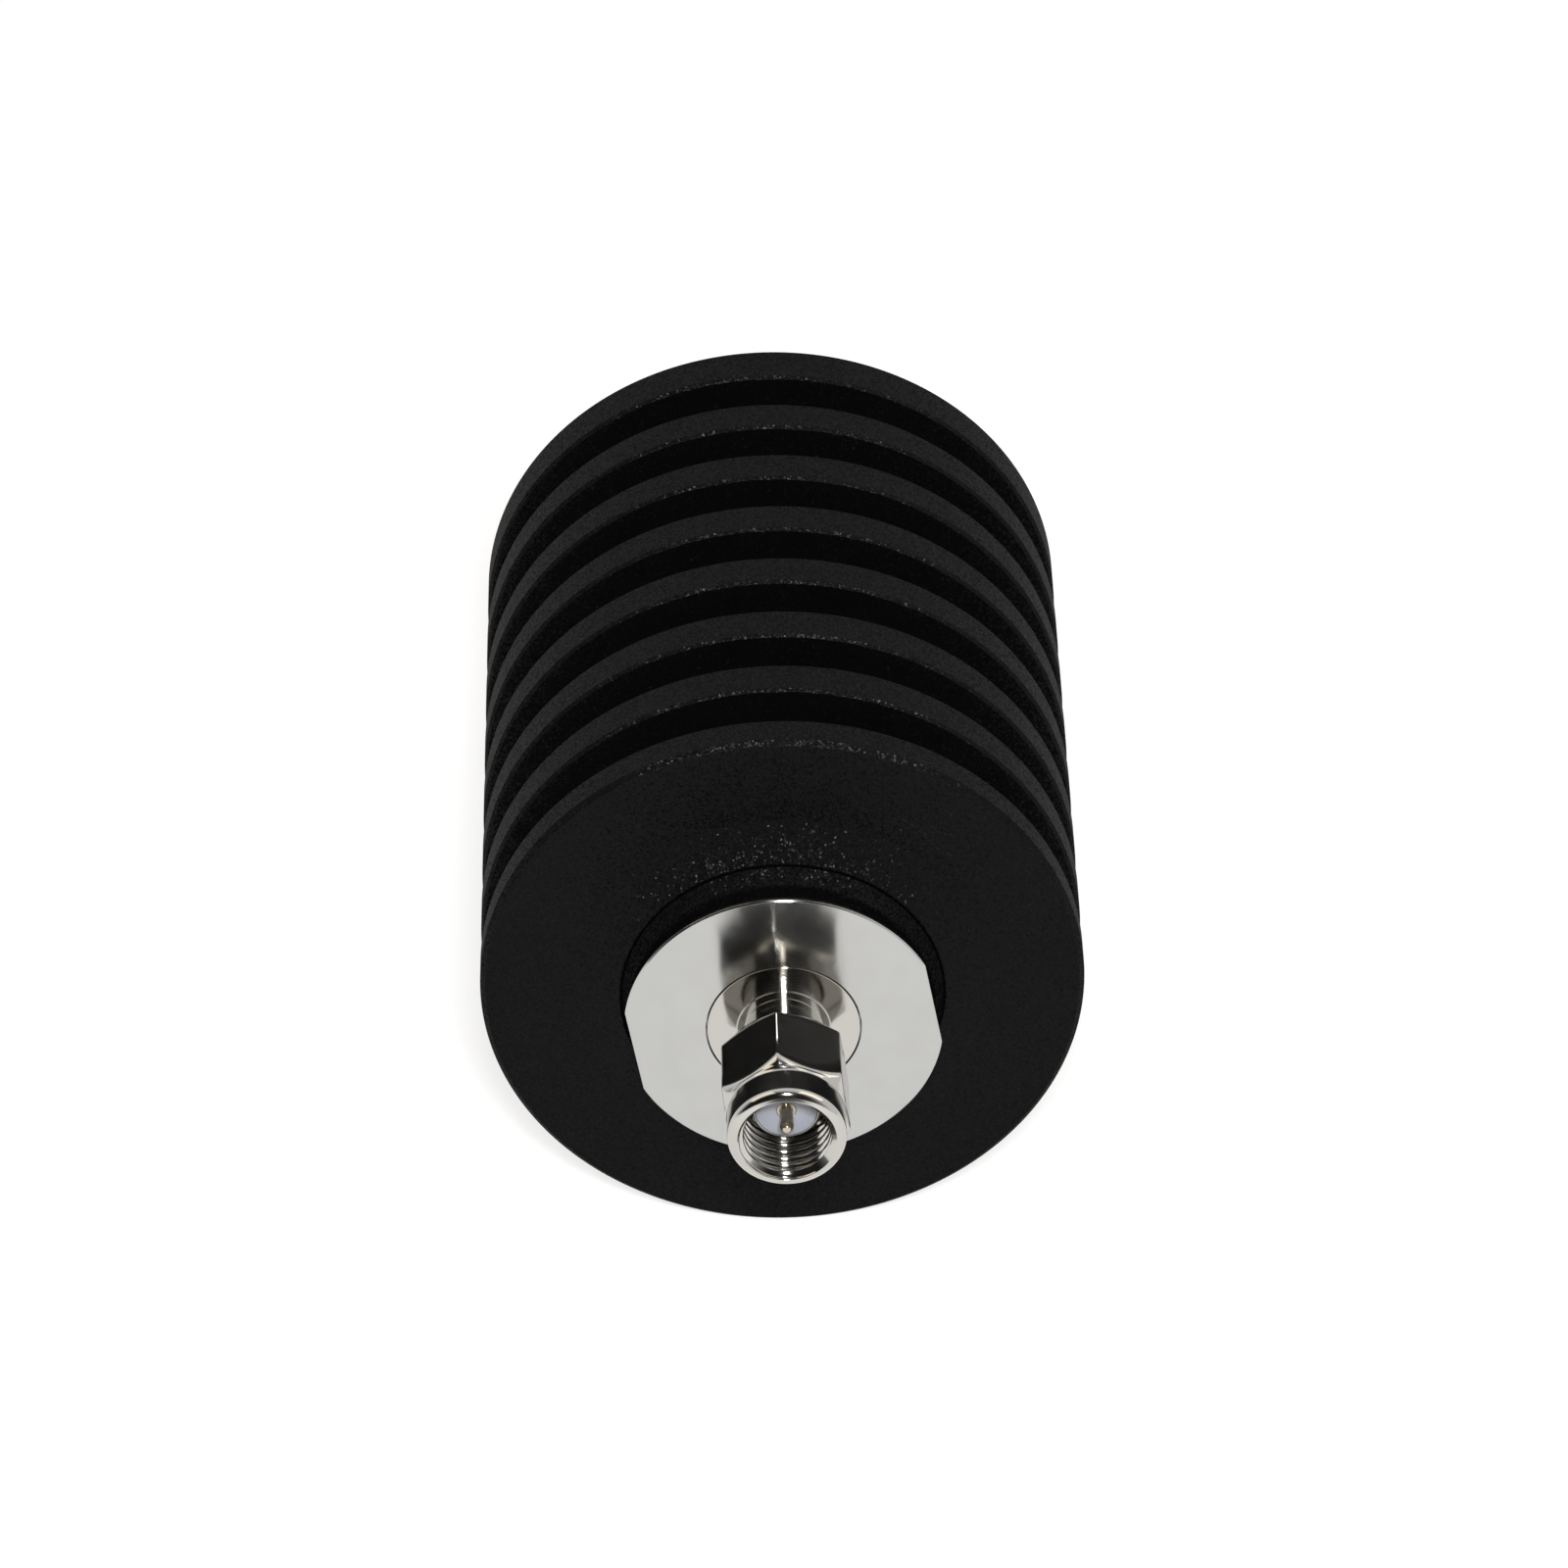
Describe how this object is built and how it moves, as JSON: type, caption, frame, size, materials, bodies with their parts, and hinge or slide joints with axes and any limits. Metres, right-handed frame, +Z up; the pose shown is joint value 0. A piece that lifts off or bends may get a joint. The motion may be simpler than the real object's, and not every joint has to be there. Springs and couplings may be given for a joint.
{
  "type": "coaxial attenuator",
  "caption": "Fixed coaxial attenuator: round finned heat sink with a threaded plug and free-turning nut at one end and a threaded jack at the other.",
  "frame": {"origin": "centre of the plug's reference plane, which is the end face of its outer contact", "axes": "the object's axis lies along Y, the plug faces -Y, the jack faces +Y, +Z is up"},
  "size_m": [0.04, 0.0763, 0.04],
  "materials": {
    "black_anodised": "matte",
    "nickel_plated_brass": "polished",
    "ptfe": "satin",
    "contact_metal": "satin",
    "spring_bronze": "satin",
    "silicone": "matte",
    "bare_aluminium": "satin",
    "steel": "satin",
    "ceramic": "matte"
  },
  "bodies": {
    "attenuator": {"heat_sink": "black_anodised", "body_tube": "black_anodised", "front_end_cap": "nickel_plated_brass", "rear_end_cap": "nickel_plated_brass", "plug_body": "nickel_plated_brass", "plug_insulator": "ptfe", "plug_pin": "contact_metal", "nut_retaining_ring": "spring_bronze", "nut_gasket": "silicone", "jack_body": "nickel_plated_brass", "jack_insulator": "ptfe", "jack_contact": "contact_metal", "core_base": "bare_aluminium", "core_cover": "bare_aluminium", "core_screws": "steel", "attenuator_chip": "ceramic", "chip_lid": "ceramic", "input_tab": "contact_metal", "output_tab": "contact_metal"},
    "coupling_nut": {"coupling_nut": "nickel_plated_brass"}
  },
  "joints": [
    {"name": "coupling_nut_spin", "type": "hinge", "parent": "attenuator", "child": "coupling_nut", "pos_m": [0, 0, 0], "axis": [0, 1, 0], "continuous": true}
  ]
}
